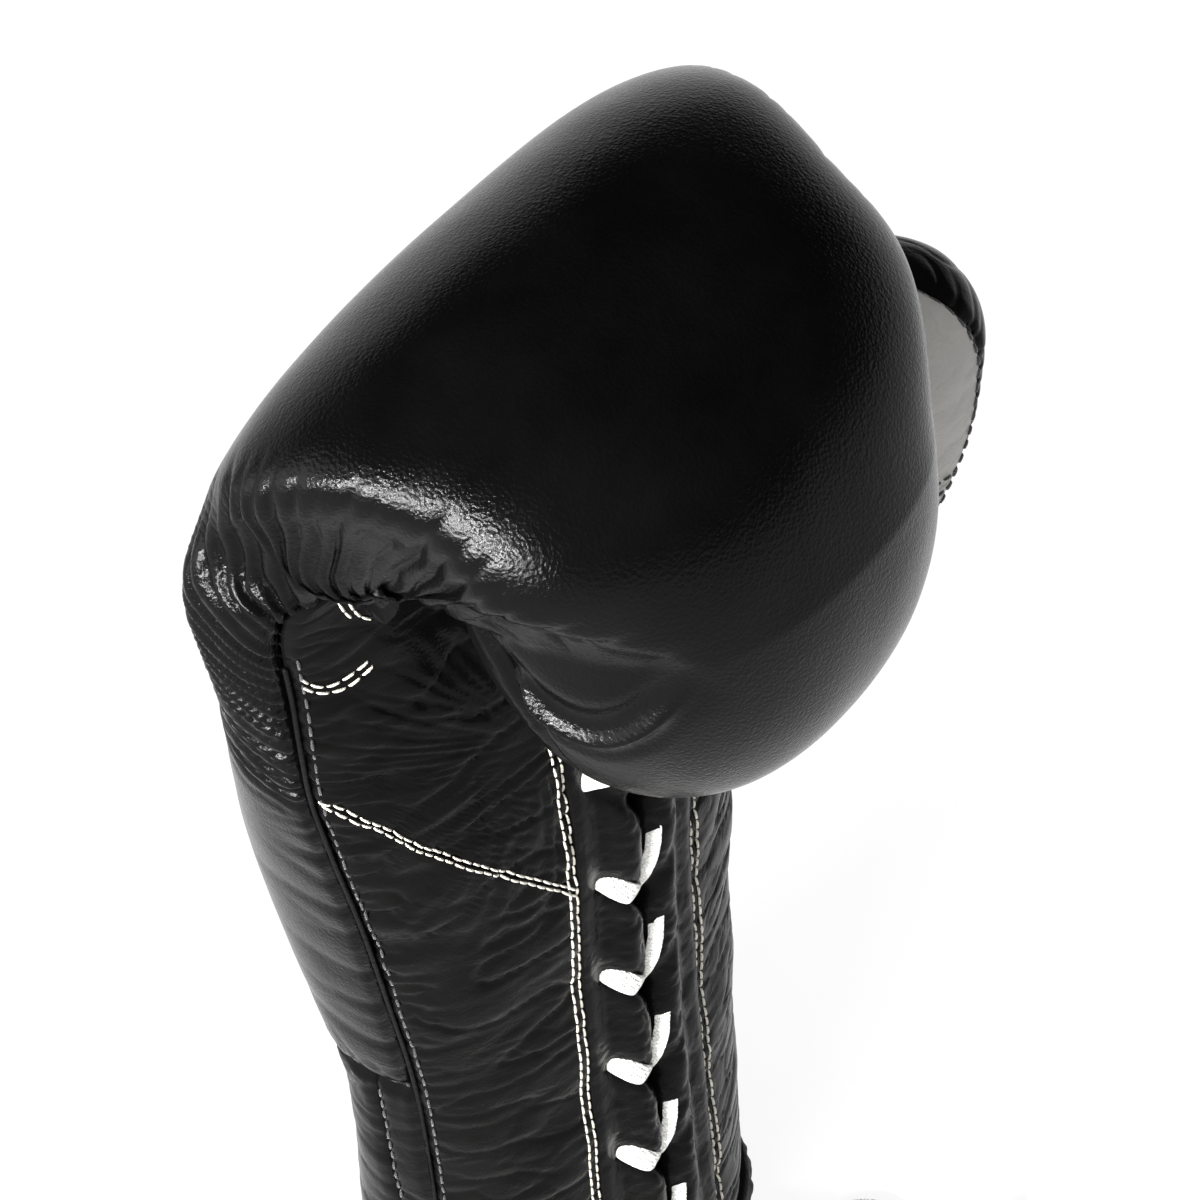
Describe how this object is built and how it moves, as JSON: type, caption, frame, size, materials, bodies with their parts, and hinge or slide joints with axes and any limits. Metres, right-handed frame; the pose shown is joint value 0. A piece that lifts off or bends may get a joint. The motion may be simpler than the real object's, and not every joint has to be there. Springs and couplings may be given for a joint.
{
  "type": "boxing glove",
  "caption": "Right-hand lace-up boxing glove of black leather, standing on its cuff, with a curled padded fist, a hinged thumb and a laced palm opening.",
  "frame": {"origin": "centre of the hand opening, in the plane of the cuff's rim", "axes": "+Z from the cuff to the knuckles, palm faces -Y, thumb on the +X side"},
  "size_m": [0.1572, 0.1133, 0.2961],
  "materials": {
    "leather_knuckle": "gloss",
    "leather_body": "satin",
    "leather_tongue": "satin",
    "thumb_inner": "satin",
    "binding": "satin",
    "foam": "matte",
    "lining": "matte",
    "grip_bar": "matte",
    "lace": "matte",
    "aglet": "gloss"
  },
  "bodies": {
    "glove": {"knuckle_shell": "leather_knuckle", "cuff_back": "leather_body", "gusset_pinky_side": "leather_body", "gusset_thumb_side": "leather_body", "palm_centre": "leather_body", "palm_pinky_side": "leather_body", "cuff_pinky_side": "leather_body", "palm_thumb_side": "leather_body", "cuff_thumb_side": "leather_body", "placket_pinky_side": "leather_body", "placket_thumb_side": "leather_body", "back_patch": "leather_body", "side_welt_pinky": "leather_body", "side_welt_thumb": "leather_body", "tongue": "leather_tongue", "rim_binding": "binding", "cuff_pad_back": "foam", "cuff_pad_pinky_side": "foam", "cuff_pad_thumb_side": "foam", "palm_pad": "foam", "back_pad": "foam", "comfort_foam": "foam", "impact_foam": "foam", "hand_lining": "lining", "grip_bar": "grip_bar", "lace": "lace", "bow_knot": "lace", "bow_loop_thumb_side": "lace", "bow_loop_pinky_side": "lace", "lace_tail_thumb_side": "lace", "lace_tail_pinky_side": "lace", "aglet_thumb_side": "aglet", "aglet_pinky_side": "aglet"},
    "thumb": {"thumb_outer": "leather_body", "thumb_inner_upper": "thumb_inner", "thumb_inner_lower": "thumb_inner", "thumb_pad": "foam", "thumb_lining": "lining", "thumb_strap": "leather_body"}
  },
  "joints": [
    {"name": "thumb_flex", "type": "hinge", "parent": "glove", "child": "thumb", "pos_m": [0.0455, -0.006, 0.1105], "axis": [0, 1, 0], "range_deg": [0, 10], "stiffness_Nm_per_rad": 0.8, "springref_deg": -5.73}
  ]
}
